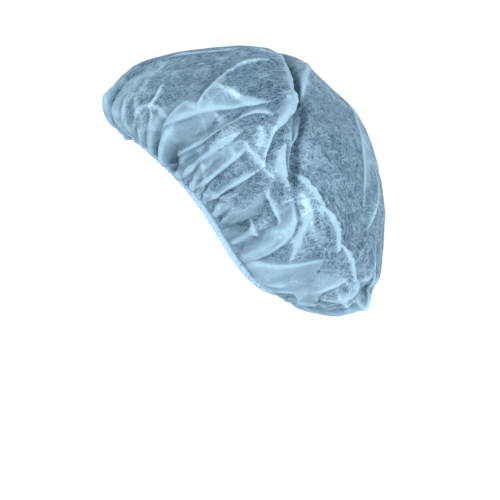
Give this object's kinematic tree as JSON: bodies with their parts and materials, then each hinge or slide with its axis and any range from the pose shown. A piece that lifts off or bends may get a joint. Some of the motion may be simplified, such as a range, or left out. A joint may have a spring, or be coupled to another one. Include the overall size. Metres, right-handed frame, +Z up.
{
  "type": "bouffant cap",
  "caption": "Worn bouffant cap: a round, light-blue nonwoven cloth gathered all round on an elastic hem and puffed out over the head.",
  "frame": {"origin": "middle of the elastic loop, where the cap sits on the head", "axes": "the wearer looks along -Y, +X is the wearer's left and +Z is up; the loop's plane is tilted 41 degrees, high at the forehead and low at the nape"},
  "size_m": [0.2256, 0.2491, 0.2383],
  "materials": {
    "nonwoven": "thin, see-through spunbond nonwoven, light blue",
    "hem": "the same nonwoven in several folded layers, paler",
    "elastic": "off-white covered elastic"
  },
  "bodies": {
    "root": {"crown": "nonwoven", "hem_casing": "hem", "elastic_band": "elastic"}
  },
  "joints": []
}
